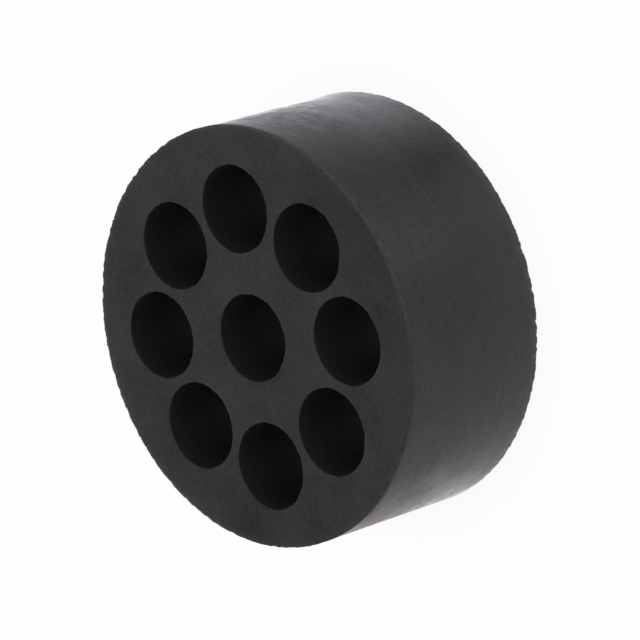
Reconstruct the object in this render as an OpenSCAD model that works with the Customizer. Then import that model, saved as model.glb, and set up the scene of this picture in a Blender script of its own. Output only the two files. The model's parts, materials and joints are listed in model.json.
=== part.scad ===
// Sealing insert for a cable gland: one plain block of black rubber with flat ends and straight holes right through it,
// a ring of equal holes round one in the centre, one cable to each. It stands on an end, with its axis along +Z and
// its origin in the middle of the lower end.

/* [Body] */
// Outer diameter, which fills the gland's clamping cage
body_d = 33.8; // [31:0.1:60]
// Length from end to end, along the cables
body_len = 14.5; // [8:0.1:40]
// Radius of the edge round each end
edge_r = 0.15; // [0.05:0.05:1]

/* [Cable holes] */
// Diameter of each hole, the same for all
cable_d = 7; // [3:0.1:8]
// Number of holes on the ring, besides the one in the centre
ring_count = 8; // [6:1:10]
// Rubber between neighbouring holes of the ring, where it is thinnest
hole_gap = 0.9; // [0.5:0.1:1.5]

/* [Hidden] */

rubber_black = [0.2, 0.2, 0.21];

// Neighbouring hole centres on the ring lie one hole and one gap apart, which sets the ring's radius
body_r = body_d / 2;
ring_step = 360 / ring_count;
ring_r = (cable_d + hole_gap) / (2 * sin(ring_step / 2));

// The ring is turned by half a step, so that the X axis passes between two holes
ring_turn = ring_step / 2;

// Each hole's cutter runs this far past both ends
cut_over = 1;

body_facets = 180;
hole_facets = 96;
edge_facets = 32;

// Half of the body's section, from the axis out: a block with a round corner at each end of its outer wall
module half_section() {
    square([body_r - edge_r, body_len]);
    translate([0, edge_r])
        square([body_r, body_len - 2 * edge_r]);
    for (y = [edge_r, body_len - edge_r])
        translate([body_r - edge_r, y])
            circle(r = edge_r, $fn = edge_facets);
}

// The block before its holes
module blank() {
    rotate_extrude($fn = body_facets)
        half_section();
}

// Cutter for one cable hole, along Z at the origin
module cable_hole() {
    translate([0, 0, -cut_over])
        cylinder(d = cable_d, h = body_len + 2 * cut_over, $fn = hole_facets);
}

// Cutters for the holes of the ring
module hole_ring() {
    for (i = [0 : ring_count - 1])
        rotate([0, 0, ring_turn + i * ring_step])
            translate([ring_r, 0, 0])
                cable_hole();
}

module sealing_insert() {
    color(rubber_black)
        difference() {
            blank();
            cable_hole();
            hole_ring();
        }
}

sealing_insert();
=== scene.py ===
import json
import math

import bmesh
import bpy
import numpy as np
from mathutils import Matrix, Vector


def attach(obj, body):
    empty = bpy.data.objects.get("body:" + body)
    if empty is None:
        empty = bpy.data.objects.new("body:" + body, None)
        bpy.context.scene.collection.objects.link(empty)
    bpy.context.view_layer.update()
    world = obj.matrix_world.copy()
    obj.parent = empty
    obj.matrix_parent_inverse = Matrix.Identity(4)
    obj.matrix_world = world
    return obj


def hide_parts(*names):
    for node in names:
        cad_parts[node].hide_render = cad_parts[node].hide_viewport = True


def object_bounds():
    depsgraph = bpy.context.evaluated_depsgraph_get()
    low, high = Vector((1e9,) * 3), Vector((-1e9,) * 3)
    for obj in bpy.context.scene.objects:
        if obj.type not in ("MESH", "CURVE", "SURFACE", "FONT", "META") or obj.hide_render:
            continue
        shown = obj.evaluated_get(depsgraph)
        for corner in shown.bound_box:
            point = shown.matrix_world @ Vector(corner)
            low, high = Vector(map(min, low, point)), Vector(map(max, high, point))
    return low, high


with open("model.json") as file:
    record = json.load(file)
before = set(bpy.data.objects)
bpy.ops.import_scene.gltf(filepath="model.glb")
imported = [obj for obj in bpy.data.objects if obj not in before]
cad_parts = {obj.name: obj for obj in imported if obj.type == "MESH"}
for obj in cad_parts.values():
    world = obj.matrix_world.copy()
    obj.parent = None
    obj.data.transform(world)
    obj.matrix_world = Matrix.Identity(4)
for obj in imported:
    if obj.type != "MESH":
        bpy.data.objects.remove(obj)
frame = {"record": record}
cadLow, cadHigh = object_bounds()
millimetres = 1000      # in a metre
print("frame loaded: height", round(cadHigh.z * millimetres, 2), "mm")

# Driving sizes, read from the part's own mounts
mounts = {m["name"]: m for m in frame["record"]["mounts"]}
outerRadius = mounts["outer_wall"]["dims"]["r_mm"] / millimetres
holeRadius = mounts["cable_hole_centre"]["dims"]["r_mm"] / millimetres
height = cadHigh.z
ringHoles = [Vector(m["pos_m"]).xy for n, m in mounts.items() if n.startswith("cable_hole_ring")]
ringHoles.sort(key=lambda c: math.atan2(c.y, c.x) % math.tau)
ringRadius = ringHoles[0].length
ringStep = math.tau / len(ringHoles)


# Block of rubber: sizes in metres, angles in degrees, and counts of mesh steps
block = {
    "swell": 0.00002,           # the outer wall's ends stand this far proud of its nominal radius
    "rimInset": 0.00003,        # the outer wall's two edges are worn round: how far in from the wall,
    "rimDepth": 0.0001,         # and how far down it
    "mouthInset": 0.00002,      # the cable holes have a keener edge
    "mouthDepth": 0.00002,
    "flare": 0.00004,           # how much wider a hole is at its mouth
    "flareLength": 0.0003,
    "cellArc": 150,             # mesh steps of one hole's share of the outer rim,
    "cellSide": 48,             # along each line between two neighbouring holes,
    "cellInner": 24,            # and round the middle web
    "webShare": 0.5,            # radius of the middle web as a share of the ring's
    "rimRows": 6,
    "mouthRows": 2,
    # Rows of the outer wall by distance from its round edge, the same of a hole's wall, and rows of the
    # end faces as shares of the way from a hole's mouth to the outline of its share
    "rimSteps": [0.0001, 0.0003, 0.0006, 0.0011, 0.0017, 0.0030],
    "mouthSteps": [0.0001, 0.0003, 0.001, 0.004],
    "shareSteps": [0, 0.02, 0.1, 0.35, 0.65, 0.9, 0.98, 1],
    # Teeth that the trimming left round an edge: spacing along it, depth into the rubber
    "rimTeeth": [(0.0011, 0.00011), (0.0004, 0.00005)],
    "liftTeeth": [(0.0009, 0.00004)],
    "mouthTeeth": [(0.0027, 0.00007), (0.0009, 0.00006), (0.00035, 0.00005)],
    "toothShift": 0.3,          # how far a tooth strays, as a share of its step
    "toothPeak": (0.12, 0.88),  # where its peak may lie between its start and its end
    "toothLeast": 0.15,         # height of the lowest, as a share of the depth
    "toothReach": 0.0004,       # how far down a wall the teeth fade out,
    "toothFade": 1.5,           # and how fast
    # The rims are more worn on one side: its azimuth, the least and most wear, and how narrow that side
    # is, for the lower rim and the upper one
    "rimWear": [(-105, 0.4, 1.5, 8), (20, 0.75, 1.45, 1)],
    # Between its ends the wall is a little narrower, and on one side it stands out below its upper end as
    # a lip: its azimuth and how narrow it is, its height, and the depths from the ends between which both
    # change
    "waist": -0.00002,
    "lipSide": (-16, 60),
    "lipHeight": 0.00007,
    "waistDepths": (0.0007, 0.0017),
    "mergeDistance": 2e-7,      # points of neighbouring grids that are as near as this are one
    "seed": 11,
}

# Material slots of the block, in the order of its finishes
wallSlot, faceSlot, holeSlot = range(3)


def ragged(angles, radius, teeth, rng):
    # Sum of saw-like teeth round a circle: each rises from nothing to a random height at a random place
    # of its own step and falls back to nothing at the next step. The mean is taken off, so that the
    # radius holds.
    total = np.zeros(len(angles))
    shift = block["toothShift"]
    for spacing, depth in teeth:
        count = round(math.tau * radius / spacing)
        start = (np.arange(count) + rng.uniform(-shift, shift, count)) * math.tau / count
        gap = np.diff(start, append=start[0] + math.tau)
        peak = start + gap * rng.uniform(*block["toothPeak"], count)
        at = np.concatenate([start, peak])
        tall = np.concatenate([np.zeros(count), depth * rng.uniform(block["toothLeast"], 1, count)])
        total += np.interp(angles % math.tau, at % math.tau, tall, period=math.tau)
    return total - total.mean()


def wornSide(angles, azimuth, least, most, narrow):
    # Wear round a rim: least + (most - least) * ((1 + cos(angle from the worn side)) / 2) ^ narrow
    near = (1 + np.cos(angles - math.radians(azimuth))) / 2
    return least + (most - least) * near**narrow


def wallShift(angles, z):
    # Shift of the outer wall's radius: waist * (1 - rise) + lip * rise. The rise towards each end is
    # 3 t^2 - 2 t^3, where t runs from 0 to 1 between the two depths. The lip is its height times the
    # nearness to its side, at the upper end alone.
    azimuth, narrow = block["lipSide"]
    start, end = block["waistDepths"]
    t = np.clip((np.minimum(z, height - z) - end) / (start - end), 0, 1)
    rise = (t * t * (3 - 2 * t))[:, None]
    lip = block["lipHeight"] * (z > height / 2)[:, None] * wornSide(angles, azimuth, 0, 1, narrow)
    return block["waist"] * (1 - rise) + lip * rise


def quads(rows, columns, first, flip):
    # Corners of every cell of a grid that closes on itself along its rows and starts at vertex number first
    r = np.arange(rows - 1)[:, None]
    c = np.arange(columns)[None, :]
    n = (c + 1) % columns
    a, b = r * columns + c, r * columns + n
    d, e = (r + 1) * columns + c, (r + 1) * columns + n
    loop = [d, e, b, a] if flip else [a, b, e, d]
    return np.stack([v + first for v in loop], -1).reshape(-1, 4)


def wallProfile(radius, inset, drop, rows, steps, side, flare):
    # Section of a wall from the lower end to the upper one: a quarter ellipse, the straight wall, a quarter
    # ellipse. On an ellipse, radius = wall - side * inset * (1 - cos turn) and depth below the end =
    # drop * (1 - sin turn). The side is 1 for the outer wall and -1 for a hole, which also widens by
    # flare * exp(-depth / length). The teeth fade as (1 - depth / reach) ^ fade.
    turn = np.linspace(math.pi / 2, 0, rows + 1)
    depth = np.concatenate([drop * (1 - np.sin(turn)), drop + np.array(steps)])
    back = np.concatenate([inset * (1 - np.cos(turn)), np.zeros(len(steps))])
    r = radius - side * back + flare * np.exp(-depth / block["flareLength"])
    worn = np.clip(1 - depth / block["toothReach"], 0, 1) ** block["toothFade"]
    z = np.concatenate([depth, (height - depth)[::-1]])
    return np.concatenate([r, r[::-1]]), z, np.concatenate([worn, worn[::-1]])


def wallGrid(centre, angles, profile, teeth, lifts):
    # Sweeps a section round a centre: x = centre + r cos, y = centre + r sin, with r less the teeth where
    # the edge is worn, and z moved towards the middle by the lifts there
    r, z, worn = profile
    low = (z < height / 2)[:, None]
    tooth = np.where(low, teeth[0], teeth[1]) * worn[:, None]
    lift = np.where(low, lifts[0], -lifts[1]) * worn[:, None]
    rr = r[:, None] - tooth
    x, y = centre[0] + rr * np.cos(angles), centre[1] + rr * np.sin(angles)
    return np.stack([x, y, z[:, None] + lift], -1)


def cellLoop():
    # Outline of one ring hole's share of an end face, for a hole on the X axis: outer arc, line to the
    # middle, inner arc, line back. A point of the line lies ring radius * sin(aim) / sin(aim - half step)
    # from the axis, for even steps of the aim, its direction as seen from the hole's centre.
    half = ringStep / 2
    inner = ringRadius * block["webShare"]
    edge = np.array([math.cos(half), math.sin(half)])
    arc = np.linspace(-half, half, block["cellArc"] + 1)
    outerArc = outerRadius * np.stack([np.cos(arc), np.sin(arc)], -1)
    ends = [radius * edge - [ringRadius, 0] for radius in (outerRadius, inner)]
    first, last = [math.atan2(y, x) for x, y in ends]
    aim = np.linspace(first, last, block["cellSide"] + 1)[1:-1]
    line = (ringRadius * np.sin(aim) / np.sin(aim - half))[:, None] * edge
    back = np.linspace(half, -half, block["cellInner"] + 1)
    innerArc = inner * np.stack([np.cos(back), np.sin(back)], -1)
    return np.concatenate([outerArc, line, innerArc, line[::-1] * [1, -1]])


def turned(points, angle):
    # Points turned about the axis by an angle
    c, s = math.cos(angle), math.sin(angle)
    return points @ np.array([[c, s], [-s, c]])


def makeBlock():
    # Outer wall, with x and y times 1 + shift / radius, then each ring hole's wall with its share of both
    # end faces, then the centre hole with its web. A share runs straight from the hole's mouth to its
    # outline: point = mouth * (1 - t) + outline * t. It is flat, but for the teeth of the outline itself.
    rng = np.random.default_rng(block["seed"])
    parts = []

    def add(grid, flip, slot):
        parts.append((grid, flip, slot))

    def teethFor(angles, radius, teeth):
        # One row of teeth for the lower end and one for the upper
        return [ragged(angles, radius, teeth, rng) for end in (0, 1)]

    around = (np.arange(block["cellArc"] * len(ringHoles)) / block["cellArc"] - 0.5) * ringStep
    around = around + math.atan2(ringHoles[0].y, ringHoles[0].x)
    rim = (block["rimInset"], block["rimDepth"], block["rimRows"], block["rimSteps"])
    profile = wallProfile(outerRadius + block["swell"], *rim, 1, 0)
    lifts = [lift - lift.min() for lift in teethFor(around, outerRadius, block["liftTeeth"])]
    teeth = teethFor(around, outerRadius, block["rimTeeth"])
    teeth = [tooth * wornSide(around, *wear) for tooth, wear in zip(teeth, block["rimWear"])]
    wall = wallGrid((0, 0), around, profile, teeth, lifts)
    wall[..., :2] *= (1 + wallShift(around, profile[1]) / outerRadius)[..., None]
    add(wall, False, wallSlot)

    loop = cellLoop()
    seen = np.arctan2(loop[:, 1], loop[:, 0] - ringRadius)
    t = np.array(block["shareSteps"])[:, None, None]
    mouth = (block["mouthInset"], block["mouthDepth"], block["mouthRows"], block["mouthSteps"])
    profile = wallProfile(holeRadius, *mouth, -1, block["flare"])
    still = np.zeros((2, len(loop)))
    webs = ([], [])
    for i, centre in enumerate(ringHoles):
        angle = math.atan2(centre.y, centre.x)
        teeth = teethFor(seen, holeRadius, block["mouthTeeth"])
        tube = wallGrid(centre, seen + angle, profile, teeth, still)
        add(tube, True, holeSlot)
        for end in (0, 1):
            outline = np.concatenate([turned(loop, angle), np.full((len(loop), 1), height * end)], 1)
            columns = (np.arange(block["cellArc"] + 1) + i * block["cellArc"]) % len(around)
            outline[: block["cellArc"] + 1] = wall[-end, columns]
            share = tube[-end] * (1 - t) + outline * t
            share[:-1, :, 2] = height * end
            add(share, end == 1, faceSlot)
            first = block["cellArc"] + block["cellSide"]
            webs[end].append(outline[first + 1 : first + block["cellInner"] + 1][::-1])

    web = [np.concatenate(arcs) for arcs in webs]
    seen = np.arctan2(web[0][:, 1], web[0][:, 0])
    teeth = teethFor(seen, holeRadius, block["mouthTeeth"])
    tube = wallGrid((0, 0), seen, profile, teeth, np.zeros((2, len(seen))))
    add(tube, True, holeSlot)
    for end in (0, 1):
        add(tube[-end] * (1 - t) + web[end] * t, end == 1, faceSlot)
    return meshFrom(parts)


def meshFrom(parts):
    # Joins the grids into one closed mesh. Where two of them meet, they hold the same points, which are
    # merged.
    sizes = [grid.shape[0] * grid.shape[1] for grid, flip, slot in parts]
    firsts = np.cumsum([0] + sizes[:-1])
    points = np.concatenate([grid.reshape(-1, 3) for grid, flip, slot in parts])
    cells = [quads(*grid.shape[:2], first, flip) for (grid, flip, slot), first in zip(parts, firsts)]
    slots = np.concatenate([np.full(len(cell), slot) for cell, (grid, flip, slot) in zip(cells, parts)])
    faces = np.concatenate(cells)
    mesh = bpy.data.meshes.new("sealingBlock")
    mesh.vertices.add(len(points))
    mesh.vertices.foreach_set("co", points.astype(np.float32).ravel())
    mesh.loops.add(faces.size)
    mesh.loops.foreach_set("vertex_index", faces.astype(np.int32).ravel())
    mesh.polygons.add(len(faces))
    mesh.polygons.foreach_set("loop_start", np.arange(0, faces.size, faces.shape[1], dtype=np.int32))
    mesh.polygons.foreach_set("material_index", slots.astype(np.int32))
    mesh.update(calc_edges=True)
    bm = bmesh.new()
    bm.from_mesh(mesh)
    bmesh.ops.remove_doubles(bm, verts=bm.verts, dist=block["mergeDistance"])
    for face in bm.faces:
        face.smooth = True
    openEdges = sum(not edge.is_manifold for edge in bm.edges)
    bm.to_mesh(mesh)
    bm.free()
    print("block: triangles", 2 * len(mesh.polygons), "open edges", openEdges)
    return bpy.data.objects.new("sealingBlock", mesh)


# Finishes: the rubber is one compound, but its outer wall is smoother than its cut ends, and its holes
# are dull. Noise sizes are in metres, from one patch to the next, and thin says how much lower than wide
# a patch is: the streaks run round the wall. Shares say how far streaks, grain and clouds move the depth
# of colour, the shine and the roughness. Blotches make the roughness uneven on their own. Reliefs are
# heights in metres for a whole step of the noise.
finishes = {
    "outerWallRubber": {
        "warm": (0.0076, 0.0060, 0.0058),
        "cool": (0.0054, 0.0060, 0.0086),
        "contrast": 0.3,
        "roughness": 0.25,
        "roughnessSpread": 0.10,
        "shine": 0.5,
        "shineSpread": 0.10,
        "streakSize": 0.0014,
        "streakThin": 3.0,
        "grainSize": 0.00034,
        "cloudSize": 0.0030,
        "shares": (0.3, 0.45, 0.25),
        "relief": 0.000023,
        "blotchSize": 0.0032,
        "blotchThin": 1.5,
        "blotchRelief": 0.000045,
        "blotchRoughness": 0.36,
    },
    "endFaceRubber": {
        "warm": (0.0070, 0.0060, 0.0058),
        "cool": (0.0054, 0.0060, 0.0076),
        "contrast": 0.5,
        "roughness": 0.40,
        "roughnessSpread": 0.12,
        "shine": 0.5,
        "shineSpread": 0.22,
        "streakSize": 0.0016,
        "streakThin": 1.0,
        "grainSize": 0.0004,
        "cloudSize": 0.0070,
        "shares": (0.15, 0.3, 0.55),
        "relief": 0.000014,
        "blotchSize": 0.0012,
        "blotchThin": 1.0,
        "blotchRelief": 0.000008,
        "blotchRoughness": 0.05,
    },
    "holeWallRubber": {
        "warm": (0.0178, 0.0162, 0.0155),
        "cool": (0.0148, 0.0163, 0.0180),
        "contrast": 0.25,
        "roughness": 0.50,
        "roughnessSpread": 0.10,
        "shine": 0.4,
        "shineSpread": 0.20,
        "streakSize": 0.0020,
        "streakThin": 8.0,
        "grainSize": 0.00025,
        "cloudSize": 0.0030,
        "shares": (0.3, 0.3, 0.4),
        "relief": 0.000010,
        "blotchSize": 0.0012,
        "blotchThin": 1.0,
        "blotchRelief": 0.000008,
        "blotchRoughness": 0.05,
    },
}

# Noise of every finish: the detail of each kind, and the part of its range that it mostly keeps to
noises = {
    "streakDetail": 3.0,
    "grainDetail": 1.0,
    "cloudDetail": 2.0,
    "blotchDetail": 3.0,
    "wearAndGlintDetail": 2.0,
    "stainDetail": 6.0,
    "usedRange": (0.35, 0.65),
}

# Two light scratches round the outer wall: height, middle angle, half length in degrees, sag and half width
scratches = {
    "lines": [(0.00693, -70.0, 12.5, 0.00026, 0.00004), (0.00314, -66.5, 5.5, 0.00008, 0.00003)],
    "widthFade": (0.5, 2),      # full up to the first share of the half width, none from the second on
    "lengthFade": (0.8, 1.0),   # and the same along the half length
    "gapSize": 0.0006,          # they come and go over this length,
    "gapRange": (0.64, 0.36),   # full with the noise at the first, none at the second
    "colour": (0.031, 0.031, 0.0315),
}

# Edges. Below its upper end the outer wall is worn dull for a way, with a ragged lower border; above its
# lower end it turns a little lighter. The end faces turn lighter and fall off towards the outer edges. On
# one half of the block the upper edge has a painted highlight line with painted glints, on the other
# painted shadows of its notches as dark pits.
# Depths are measured from the edges, in metres.
edgeWearAndPaintedLight = {
    "dullDepths": (0.00005, 0.00058),       # fully dull down to the first, clear from the second on
    "wander": 0.0003,           # how far the border of the dull band moves to and fro,
    "wanderSize": 0.0008,       # and over which length
    "dullColour": (0.030, 0.030, 0.0305),
    "dullRoughness": 0.85,
    # Painted highlight: a light line along the upper edge, on the side that the light falls on
    "highlightColour": (0.037, 0.037, 0.0375),
    "highlightDepths": (0.00014, 0.00038),       # the same of the light line
    "lineWander": 0.0012,
    "lineWanderSize": 0.0007,
    "highlightSide": -9,            # azimuth of the middle of the light half,
    "highlightReach": (0.0020, -0.0035),        # and distances that way from the axis, full and none
    # Painted glints on the light half, and painted shadows of the edge's notches as dark pits on the other
    "speckSize": 0.00030,
    "speckDepth": 0.0002,       # on the wall
    "speckWidth": 0.00015,      # on an end face
    "glintColour": (0.085, 0.085, 0.086),
    "glints": (0.76, 0.56),     # with the noise full and none
    "notchShadows": (0.35, 0.50),
    "notchShadowColour": (0, 0, 0),
    "notchShadowShare": 0.65,
    "lowDepth": 0.0012,
    "lowColour": (0.041, 0.041, 0.0415),
    "faceTilt": 0.09,           # slope of the face at its rim
    "faceReach": 0.0004,        # which fades over this length
    "faceColour": (0.021, 0.021, 0.0212),
    "faceColourReach": 0.00025,
}

# Painted shade and sheen of the end faces, in round patches of more or less shine: azimuth in degrees,
# distance from the axis, radius, and the share of the shine in the middle
paintedFaceShade = [
    (150.3, 0.0203, 0.0160, 0.56),
    (-77.2, 0.0177, 0.0078, 0.60),
    (-21.1, 0.0174, 0.0053, 1.53),
    (48.1, 0.0158, 0.0046, 1.30),
    (96.3, 0.0184, 0.0160, 0.84),
    (-168.9, 0.0030, 0.0055, 0.59),
    (-170.5, 0.0139, 0.0035, 0.63),
    (6.4, 0.0158, 0.0045, 1.21),
    (-100, 0.0167, 0.0034, 1.30),
]

# Dull stains of the outer wall
stains = {
    "azimuth": -35,             # middle of their patch, in degrees,
    "rise": 0.0090,             # and its height
    "reach": (0.0020, 0.0080),  # full within the first distance, none from the second on
    "size": 0.0017,
    "thin": 1.4,
    "range": (0.36, 0.62),      # with the noise full and none
    "share": 0.22,
}


def addNode(tree, kind, sockets, **options):
    # A shader node with its options set and, for each socket named, a constant or a link from another node
    node = tree.nodes.new("ShaderNode" + kind)
    for name, value in options.items():
        setattr(node, name, value)
    for key, value in sockets.items():
        if isinstance(value, bpy.types.NodeSocket):
            tree.links.new(value, node.inputs[key])
        else:
            node.inputs[key].default_value = value
    return node


def math2(tree, operation, a, b):
    # Result of a Math node
    return addNode(tree, "Math", {0: a, 1: b}, operation=operation).outputs[0]


def spread(tree, value, middle, reach):
    # Moves a value of about 0 to 1 to the range from middle - reach / 2 to middle + reach / 2
    sockets = {"Value": value, "To Min": middle - reach / 2, "To Max": middle + reach / 2}
    return addNode(tree, "MapRange", sockets, clamp=False).outputs[0]


def ramp(tree, value, start, end):
    # From 1 where the value is at the start to 0 where it is at the end, and level beyond both
    return addNode(tree, "MapRange", {"Value": value, "From Min": end, "From Max": start}).outputs[0]


def blendColour(tree, factor, a, b):
    # Mix of two colours, each a socket or its red, green and blue. The node's colour sockets are 6 and 7,
    # and its colour output is 2.
    a, b = [colour if isinstance(colour, bpy.types.NodeSocket) else (*colour, 1) for colour in (a, b)]
    return addNode(tree, "Mix", {0: factor, 6: a, 7: b}, data_type="RGBA").outputs[2]


def noiseOf(tree, place, size, detail, thin=1.0):
    # Noise with patches of about the given size, thinner along Z
    scaled = addNode(tree, "Mapping", {"Vector": place, "Scale": (1, 1, thin)})
    sockets = {"Vector": scaled.outputs[0], "Scale": 1 / size, "Detail": detail}
    return addNode(tree, "TexNoise", sockets).outputs["Fac"]


def pointAt(azimuth, elevation, distance):
    # Point at a distance from the origin: (cos a cos e, sin a cos e, sin e) * distance
    a, e = math.radians(azimuth), math.radians(elevation)
    return Vector((math.cos(a) * math.cos(e), math.sin(a) * math.cos(e), math.sin(e))) * distance


def patched(tree, place, tone, patches):
    # Lays round patches over a plain tone, each with the weight (1 - distance from its middle / its
    # radius) squared
    for middle, radius, colour in patches:
        sockets = {"Vector": place, "Location": middle, "Scale": (radius,) * 3}
        local = addNode(tree, "Mapping", sockets, vector_type="TEXTURE").outputs[0]
        weight = addNode(tree, "TexGradient", {0: local}, gradient_type="QUADRATIC_SPHERE").outputs["Fac"]
        tone = blendColour(tree, weight, tone, colour)
    return tone


def scratchMask(tree, place):
    # 1 on a scratch: its angle is within the half length, and its height is within the half width of
    # z + sag * (1 - u * u), where u is the angle from the middle as a share of the half length
    parts = addNode(tree, "SeparateXYZ", {0: place})
    angle = math2(tree, "ARCTAN2", parts.outputs["Y"], parts.outputs["X"])
    total = None
    for z, middle, half, sag, width in scratches["lines"]:
        off = math2(tree, "SUBTRACT", angle, math.radians(middle))
        u = math2(tree, "DIVIDE", off, math.radians(half))
        bow = math2(tree, "MULTIPLY", math2(tree, "MULTIPLY", u, u), -sag)
        level = math2(tree, "SUBTRACT", parts.outputs["Z"], math2(tree, "ADD", bow, z + sag))
        start, end = [width * share for share in scratches["widthFade"]]
        near = ramp(tree, math2(tree, "ABSOLUTE", level, 0), start, end)
        within = ramp(tree, math2(tree, "ABSOLUTE", u, 0), *scratches["lengthFade"])
        mask = math2(tree, "MULTIPLY", near, within)
        total = mask if total is None else math2(tree, "MAXIMUM", total, mask)
    return total


def stainMask(tree, place):
    # Share of the dull finish by the stains: full in the middle of their patch, none at its border, and
    # by noise
    centre = pointAt(stains["azimuth"], 0, outerRadius) + Vector((0, 0, stains["rise"]))
    away = addNode(tree, "VectorMath", {0: place, 1: centre}, operation="DISTANCE").outputs["Value"]
    near = ramp(tree, away, *stains["reach"])
    noise = noiseOf(tree, place, stains["size"], noises["stainDetail"], stains["thin"])
    marks = ramp(tree, noise, *stains["range"])
    return math2(tree, "MULTIPLY", math2(tree, "MULTIPLY", near, marks), stains["share"])


def paintedLightHalf(tree, place):
    # 1 on the half of the block where the highlight and glints are painted, 0 on the other, by the distance
    # from the axis towards the side the light falls on
    sockets = {0: place, 1: pointAt(edgeWearAndPaintedLight["highlightSide"], 0, 1)}
    along = addNode(tree, "VectorMath", sockets, operation="DOT_PRODUCT").outputs["Value"]
    return ramp(tree, along, *edgeWearAndPaintedLight["highlightReach"])


def wandering(tree, place, depth, size, wander):
    # Depth moved to and fro by noise, by up to half the wander each way
    noise = noiseOf(tree, place, edgeWearAndPaintedLight[size], noises["wearAndGlintDetail"])
    return math2(tree, "ADD", depth, spread(tree, noise, 0, edgeWearAndPaintedLight[wander]))


def wearAndHighlightOnWall(tree, place, colour, roughness):
    # Mixes the worn dull finish, a lighter tone above the lower end and the painted highlight line into a
    # wall's colour and roughness, by depth below the upper end and height above the lower one; the low tone
    # goes as (1 - z / depth) squared
    z = addNode(tree, "SeparateXYZ", {0: place}).outputs["Z"]
    depth = math2(tree, "SUBTRACT", height, z)
    border = wandering(tree, place, depth, "wanderSize", "wander")
    dull = ramp(tree, border, *edgeWearAndPaintedLight["dullDepths"])
    low = ramp(tree, z, 0, edgeWearAndPaintedLight["lowDepth"])
    colour = blendColour(tree, math2(tree, "MULTIPLY", low, low), colour, edgeWearAndPaintedLight["lowColour"])
    dull = math2(tree, "MAXIMUM", dull, stainMask(tree, place))
    colour = blendColour(tree, dull, colour, edgeWearAndPaintedLight["dullColour"])
    # Painted highlight line below the upper edge, on the light half only
    border = wandering(tree, place, depth, "lineWanderSize", "lineWander")
    line = ramp(tree, border, *edgeWearAndPaintedLight["highlightDepths"])
    line = math2(tree, "MULTIPLY", line, paintedLightHalf(tree, place))
    colour = blendColour(tree, line, colour, edgeWearAndPaintedLight["highlightColour"])
    sockets = {0: dull, 2: roughness, 3: edgeWearAndPaintedLight["dullRoughness"]}
    return colour, addNode(tree, "Mix", sockets, data_type="FLOAT").outputs[0], depth


def paintedGlintsAndShadows(tree, place, depth, reach, colour, shine):
    # Painted glints on the light half and painted shadows of the notches, as dark pits, on the other, that
    # fade out over the reach from the edge
    noise = noiseOf(tree, place, edgeWearAndPaintedLight["speckSize"], noises["wearAndGlintDetail"])
    light = paintedLightHalf(tree, place)
    near = ramp(tree, depth, 0, reach)
    dark = math2(tree, "SUBTRACT", 1, light)
    glints = math2(tree, "MULTIPLY", light, ramp(tree, noise, *edgeWearAndPaintedLight["glints"]))
    notchShadows = math2(tree, "MULTIPLY", dark, ramp(tree, noise, *edgeWearAndPaintedLight["notchShadows"]))
    glint, notchShade = [math2(tree, "MULTIPLY", near, marks) for marks in (glints, notchShadows)]
    notchShadow = math2(tree, "MULTIPLY", notchShade, edgeWearAndPaintedLight["notchShadowShare"])
    colour = blendColour(tree, glint, colour, edgeWearAndPaintedLight["glintColour"])
    colour = blendColour(tree, notchShadow, colour, edgeWearAndPaintedLight["notchShadowColour"])
    return colour, math2(tree, "MULTIPLY", shine, math2(tree, "SUBTRACT", 1, notchShadow))


def faceEdge(tree, flat, colour):
    # Distance in from the rim, height of an end face there, -tilt * reach * exp(-distance / reach), and its
    # colour, which turns to the edge's own with the weight exp(-distance / reach) by another reach
    far = addNode(tree, "VectorMath", {0: flat}, operation="LENGTH").outputs["Value"]
    inside = math2(tree, "SUBTRACT", outerRadius, far)
    fall, pale = [math2(tree, "EXPONENT", math2(tree, "DIVIDE", inside, -edgeWearAndPaintedLight[reach]), 0)
                  for reach in ("faceReach", "faceColourReach")]
    colour = blendColour(tree, pale, colour, edgeWearAndPaintedLight["faceColour"])
    return inside, math2(tree, "MULTIPLY", fall, -edgeWearAndPaintedLight["faceTilt"] * edgeWearAndPaintedLight["faceReach"]), colour


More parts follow.
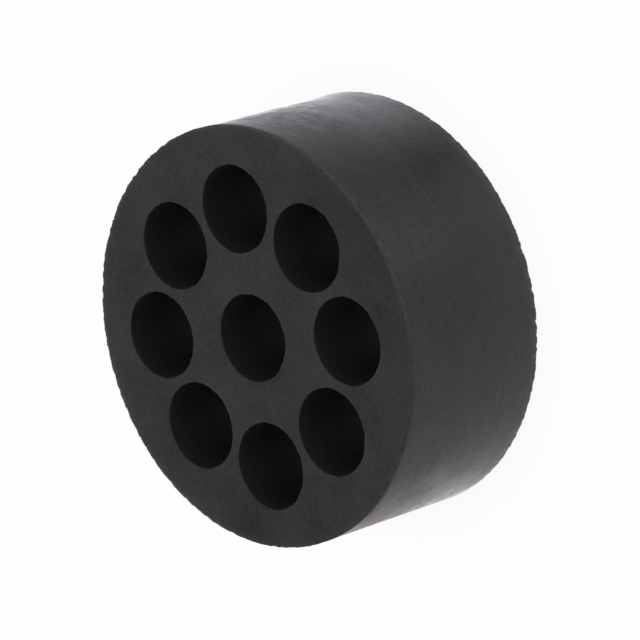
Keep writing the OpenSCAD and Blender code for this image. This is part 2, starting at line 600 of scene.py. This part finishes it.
def makeRubber(name, finish):
    # Colour, roughness, shine and relief come from one mottle, the sum of streak, grain and cloud, each
    # times its share. Blotches are added to roughness and relief, and the wear, the painted highlight,
    # glints and notch shadows of the edges and the painted shade of the end faces are laid over them.
    material = bpy.data.materials.new(name)
    material.use_nodes = True
    tree = material.node_tree
    place = addNode(tree, "TexCoord", {}).outputs["Object"]
    streak = noiseOf(tree, place, finish["streakSize"], noises["streakDetail"], finish["streakThin"])
    grain = noiseOf(tree, place, finish["grainSize"], noises["grainDetail"])
    cloud = noiseOf(tree, place, finish["cloudSize"], noises["cloudDetail"])
    blotch = noiseOf(tree, place, finish["blotchSize"], noises["blotchDetail"], finish["blotchThin"])
    shares = zip((streak, grain, cloud), finish["shares"])
    a, b, c = [math2(tree, "MULTIPLY", noise, share) for noise, share in shares]
    mottle = math2(tree, "ADD", math2(tree, "ADD", a, b), c)
    # Noise keeps near its middle, so its contrast is raised before it is used
    low, high = noises["usedRange"]
    sockets = {"Value": mottle, "From Min": low, "From Max": high}
    sharp = addNode(tree, "MapRange", sockets, clamp=False).outputs[0]
    hue = blendColour(tree, ramp(tree, cloud, high, low), finish["warm"], finish["cool"])
    tone = spread(tree, sharp, 1, finish["contrast"])
    colour = addNode(tree, "VectorMath", {"Vector": hue, "Scale": tone}, operation="SCALE").outputs[0]
    roughness = spread(tree, sharp, finish["roughness"], -finish["roughnessSpread"])
    roughness = math2(tree, "ADD", roughness, spread(tree, blotch, 0, finish["blotchRoughness"]))
    shine = spread(tree, sharp, finish["shine"], finish["shineSpread"])
    fine, broad = [math2(tree, "MULTIPLY", noise, finish[reach])
                   for noise, reach in ((mottle, "relief"), (blotch, "blotchRelief"))]
    relief = math2(tree, "ADD", fine, broad)
    if name == "outerWallRubber":
        noise = noiseOf(tree, place, scratches["gapSize"], noises["wearAndGlintDetail"])
        gaps = ramp(tree, noise, *scratches["gapRange"])
        faint = math2(tree, "MULTIPLY", scratchMask(tree, place), gaps)
        colour = blendColour(tree, faint, colour, scratches["colour"])
        colour, roughness, depth = wearAndHighlightOnWall(tree, place, colour, roughness)
        # Painted glints and painted notch shadows along the upper edge
        colour, shine = paintedGlintsAndShadows(tree, place, depth, edgeWearAndPaintedLight["speckDepth"], colour, shine)
    if name == "endFaceRubber":
        flat = addNode(tree, "VectorMath", {0: place, 1: (1, 1, 0)}, operation="MULTIPLY").outputs[0]
        # Painted shade and sheen: round patches raise or lower the end faces' shine
        spots = [(pointAt(azimuth, 0, far), radius, (share,) * 3)
                 for azimuth, far, radius, share in paintedFaceShade]
        shine = math2(tree, "MULTIPLY", shine, patched(tree, flat, (1, 1, 1), spots))
        inside, fall, colour = faceEdge(tree, flat, colour)
        relief = math2(tree, "ADD", relief, fall)
        # Painted glints and painted notch shadows along the rims of the end faces
        colour, shine = paintedGlintsAndShadows(tree, place, inside, edgeWearAndPaintedLight["speckWidth"], colour, shine)
    shader = tree.nodes["Principled BSDF"]
    tree.links.new(colour, shader.inputs["Base Color"])
    tree.links.new(roughness, shader.inputs["Roughness"])
    tree.links.new(shine, shader.inputs["Specular IOR Level"])
    # The relief is in metres already
    bump = addNode(tree, "Bump", {"Height": relief, "Distance": 1.0, "Strength": 1.0})
    tree.links.new(bump.outputs[0], shader.inputs["Normal"])
    return material


piece = makeBlock()
bpy.context.scene.collection.objects.link(piece)
for name, finish in finishes.items():
    piece.data.materials.append(makeRubber(name, finish))
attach(piece, "root")
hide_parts("sealing_insert")
print("rubber finishes made:", len(piece.data.materials))


# Studio: white paper under the piece, a sky with soft patches, and one lamp. Lengths in metres.
studio = {
    "skyTone": (0.43, 0.43, 0.43),
    # Soft patches of the sky: azimuth and elevation in degrees, radius as a share of the sky's, and the
    # tone in the middle
    "skyPatches": [(-60, 5, 1.7, (1.20, 1.20, 1.20)), (81, 10, 0.9, (1.25, 1.25, 1.25))],
    "paperSize": 3.0,
    "paperDrop": 0.00002,       # the paper lies this far under the piece
    "paperColour": (0.95, 0.95, 0.95),
    "paperShade": 0.10,         # how much of the paper's own shading shows; the rest is plain white
    "seenTone": (1, 1, 1),      # how bright the paper is by itself,
    "paperTone": (0.465, 0.46, 0.48),       # how bright reflections see it, away from its patches,
    "underTone": (0.40, 0.40, 0.40),        # and under the piece, through its holes
    # Soft round patches of the paper in reflections: azimuth in degrees, distance, radius, and the tone in
    # the middle
    "paperPatches": [
        (0, 0, 0.0260, (5.96, 5.96, 5.96)),
        (-137.8, 0.0264, 0.0541, (0.835, 0.78, 0.805)),
        (-60.5, 0.0205, 0.0120, (0.125, 0.13, 0.14)),
        (33.8, 0.0122, 0.0312, (1.59, 1.58, 1.77)),
        (-81.3, 0.0304, 0.0234, (0.98, 1.00, 1.01)),
        (-151.3, 0.0255, 0.0137, (0.65, 0.65, 0.67)),
        (135.7, 0.0337, 0.0250, (1.20, 1.15, 1.10)),
        (-29.1, 0.0152, 0.0081, (1.12, 1.12, 1.24)),
        (28.3, 0.0225, 0.0102, (2.60, 2.60, 2.50)),
        (156.2, 0.0118, 0.0099, (2.51, 2.08, 1.31)),
        (-179.5, 0.0224, 0.0057, (1.18, 1.16, 1.18)),
        (-19.5, 0.0171, 0.0115, (1.13, 1.13, 1.29)),
        (9.5, 0.0165, 0.0052, (7.10, 7.04, 6.82)),
        (167.2, 0.0114, 0.0087, (5.10, 5.31, 5.76)),
        (-177.4, 0.0274, 0.0094, (0.37, 0.37, 0.42)),
        (43.7, 0.0285, 0.0114, (1.01, 0.96, 1.43)),
        (-2.9, 0.0133, 0.0062, (16.54, 16.29, 15.44)),
        (154.5, 0.0233, 0.0059, (0.52, 0.45, 0.42)),
        (8, 0.0248, 0.0057, (0.45, 0.43, 0.48)),
    ],
    # Round lamp that faces the piece: azimuth and elevation in degrees, distance, size, watts
    "lamp": (0, 90, 1.2, 0.6, 7.2),
}


def makePaper():
    # A square of white paper. The camera sees it nearly plain white, reflections see it with its patches,
    # and everything else is lit by it as by real paper.
    s = studio["paperSize"] / 2
    z = -studio["paperDrop"]
    mesh = bpy.data.meshes.new("paper")
    mesh.from_pydata([(-s, -s, z), (s, -s, z), (s, s, z), (-s, s, z)], [], [(0, 1, 2, 3)])
    paper = bpy.data.objects.new("paper", mesh)
    bpy.context.scene.collection.objects.link(paper)
    material = bpy.data.materials.new("whitePaper")
    material.use_nodes = True
    tree = material.node_tree
    tree.nodes.clear()
    place = addNode(tree, "TexCoord", {}).outputs["Object"]
    spots = [(pointAt(azimuth, 0, far), radius, colour)
             for azimuth, far, radius, colour in studio["paperPatches"]]
    tone = patched(tree, place, studio["paperTone"], spots)
    reach = addNode(tree, "VectorMath", {0: place}, operation="LENGTH").outputs["Value"]
    tone = blendColour(tree, math2(tree, "LESS_THAN", reach, outerRadius), tone, studio["underTone"])
    path = addNode(tree, "LightPath", {}).outputs
    seen = math2(tree, "MAXIMUM", path["Is Camera Ray"], path["Is Transmission Ray"])
    tone = blendColour(tree, seen, tone, studio["seenTone"])
    plain = addNode(tree, "Emission", {"Color": tone}).outputs[0]
    lit = addNode(tree, "BsdfDiffuse", {"Color": (*studio["paperColour"], 1)}).outputs[0]
    share = math2(tree, "MAXIMUM", seen, path["Is Glossy Ray"])
    share = math2(tree, "MULTIPLY", share, 1 - studio["paperShade"])
    mixed = addNode(tree, "MixShader", {0: share, 1: lit, 2: plain}).outputs[0]
    addNode(tree, "OutputMaterial", {"Surface": mixed})
    mesh.materials.append(material)


def makeSky():
    # A grey world with soft light patches
    world = bpy.data.worlds.new("sky")
    bpy.context.scene.world = world
    world.use_nodes = True
    tree = world.node_tree
    direction = addNode(tree, "TexCoord", {}).outputs["Generated"]
    spots = [(pointAt(azimuth, rise, 1), radius, colour)
             for azimuth, rise, radius, colour in studio["skyPatches"]]
    tone = patched(tree, direction, studio["skyTone"], spots)
    tree.links.new(tone, tree.nodes["Background"].inputs["Color"])


def makeLamp():
    # A round lamp that faces the origin and isn't mirrored by the piece
    azimuth, elevation, distance, size, watts = studio["lamp"]
    away = pointAt(azimuth, elevation, 1)
    data = bpy.data.lights.new("overheadLamp", "AREA")
    data.shape = "DISK"
    data.size = size
    data.energy = watts
    lamp = bpy.data.objects.new("overheadLamp", data)
    turn = away.to_track_quat("Z", "Y").to_matrix().to_4x4()
    lamp.matrix_world = Matrix.Translation(away * distance) @ turn
    lamp.visible_glossy = False
    bpy.context.scene.collection.objects.link(lamp)


makePaper()
makeSky()
makeLamp()
print("studio ready")


# Camera: it looks down at the upper end and is rolled, so that the piece's axis lies across the picture.
# Its azimuth is measured from the front.
view = {
    "azimuth": -9.1416,
    "elevation": 43.7220,
    "roll": -107.1884,
    "distance": 0.429483,
    "aim": (-0.00021664, -0.00012082, 0.00709948),
    "lens": 304.85,
    "sensor": 36.0,
    "nearest": 0.01,
    "farthest": 10,
}


def makeCamera():
    # It stands at aim + (sin a cos e, -cos a cos e, sin e) * distance and is turned about its own line of
    # sight by the roll
    a, e = math.radians(view["azimuth"]), math.radians(view["elevation"])
    back = Vector((math.sin(a) * math.cos(e), -math.cos(a) * math.cos(e), math.sin(e)))
    data = bpy.data.cameras.new("camera")
    data.lens = view["lens"]
    data.sensor_width = view["sensor"]
    data.clip_start = view["nearest"]
    data.clip_end = view["farthest"]
    camera = bpy.data.objects.new("camera", data)
    bpy.context.scene.collection.objects.link(camera)
    turn = back.to_track_quat("Z", "Y").to_matrix().to_4x4()
    turn = turn @ Matrix.Rotation(math.radians(view["roll"]), 4, "Z")
    camera.matrix_world = Matrix.Translation(Vector(view["aim"]) + back * view["distance"]) @ turn
    bpy.context.scene.camera = camera


makeCamera()
bpy.context.scene.view_settings.view_transform = "Standard"
print("camera placed")
